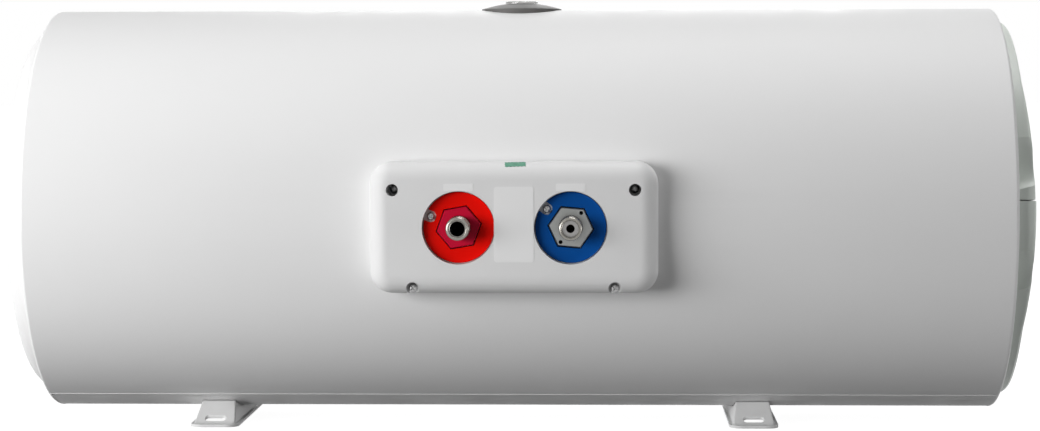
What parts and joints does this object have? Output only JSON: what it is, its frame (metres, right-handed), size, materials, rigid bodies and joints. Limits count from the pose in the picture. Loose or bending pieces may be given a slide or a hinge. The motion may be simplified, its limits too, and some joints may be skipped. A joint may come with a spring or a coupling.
{
  "type": "storage water heater",
  "caption": "Horizontal cylindrical electric storage water heater with side pipe connections, wall brackets, thermometer and temperature knob.",
  "frame": {"origin": "on the wall plane under the middle of the overall box, so the heater lies on its two wall brackets", "axes": "+X along the casing from the white cap to the grey cover, +Y away from the pipe side, +Z away from the wall"},
  "size_m": [0.9882, 0.4295, 0.4028],
  "materials": {
    "casing_white": "gloss",
    "cap_white": "gloss",
    "cover_grey": "gloss",
    "box_white": "satin",
    "screw_steel": "satin",
    "zinc_steel": "satin",
    "tank_enamel": "gloss",
    "foam_yellow": "matte",
    "rubber_black": "matte",
    "flange_steel": "satin",
    "loop_metal": "satin",
    "anode_metal": "satin",
    "plastic_black": "matte",
    "plastic_cream": "matte",
    "button_red": "gloss",
    "knob_grey": "satin",
    "lamp_amber": "gloss",
    "gland_grey": "matte",
    "nipple_nickel": "satin",
    "insert_steel": "satin",
    "pipe_plastic": "matte",
    "nut_red": "satin",
    "nut_steel": "satin",
    "disc_red": "gloss",
    "disc_blue": "gloss",
    "label_white": "satin",
    "sticker_green": "satin",
    "bezel_silver": "polished",
    "lens_clear": "gloss",
    "dial_white": "matte",
    "pointer_red": "matte",
    "bracket_paint": "satin"
  },
  "bodies": {
    "heater": {"casing": "casing_white", "left_cap": "cap_white", "right_cover_upper": "cover_grey", "right_cover_lower": "cover_grey", "right_cover_screws": "screw_steel", "end_plate": "plastic_cream", "foam": "foam_yellow", "tank_barrel": "tank_enamel", "tank_head_left": "tank_enamel", "tank_head_right": "tank_enamel", "tank_neck": "flange_steel", "flange_gasket": "rubber_black", "flange_plate": "flange_steel", "flange_studs": "zinc_steel", "flange_nuts": "zinc_steel", "heating_loops": "loop_metal", "sensor_pocket": "loop_metal", "anode": "anode_metal", "anode_nut": "zinc_steel", "thermostat": "plastic_black", "terminal_block": "plastic_cream", "terminal_screws": "screw_steel", "pilot_lamp": "lamp_amber", "cable_gland": "gland_grey", "hot_nipple": "nipple_nickel", "cold_nipple": "nipple_nickel", "cold_insert": "insert_steel", "hot_pipe": "flange_steel", "cold_spreader": "pipe_plastic", "pipe_grommets": "rubber_black", "hot_nut": "nut_red", "cold_nut": "nut_steel", "hot_disc": "disc_red", "cold_disc": "disc_blue", "disc_screws": "screw_steel", "connection_cover": "box_white", "upper_cover_screws": "screw_steel", "lower_cover_screws": "screw_steel", "notice_label": "label_white", "connection_labels": "label_white", "round_sticker": "sticker_green", "gauge_bezel": "bezel_silver", "gauge_lens": "lens_clear", "gauge_case": "flange_steel", "gauge_dial": "dial_white", "gauge_coil": "zinc_steel", "left_bracket": "bracket_paint", "right_bracket": "bracket_paint", "bracket_bosses": "flange_steel", "bracket_bolts": "zinc_steel"},
    "knob": {"knob": "knob_grey", "spindle": "zinc_steel"},
    "pointer": {"gauge_pointer": "pointer_red"},
    "button": {"reset_button": "button_red"}
  },
  "joints": [
    {"name": "knob_turn", "type": "hinge", "parent": "heater", "child": "knob", "pos_m": [0.47983, 0.02275, 0.2445], "axis": [1, 0, 0], "range_deg": [-135, 135]},
    {"name": "pointer_turn", "type": "hinge", "parent": "heater", "child": "pointer", "pos_m": [-0.00116, 0.02275, 0.3966], "axis": [0, 0, 1], "range_deg": [-270, 0]},
    {"name": "reset_press", "type": "slide", "parent": "heater", "child": "button", "axis": [-1, 0, 0], "range_m": [0, 0.002], "stiffness_N_per_m": 400}
  ]
}
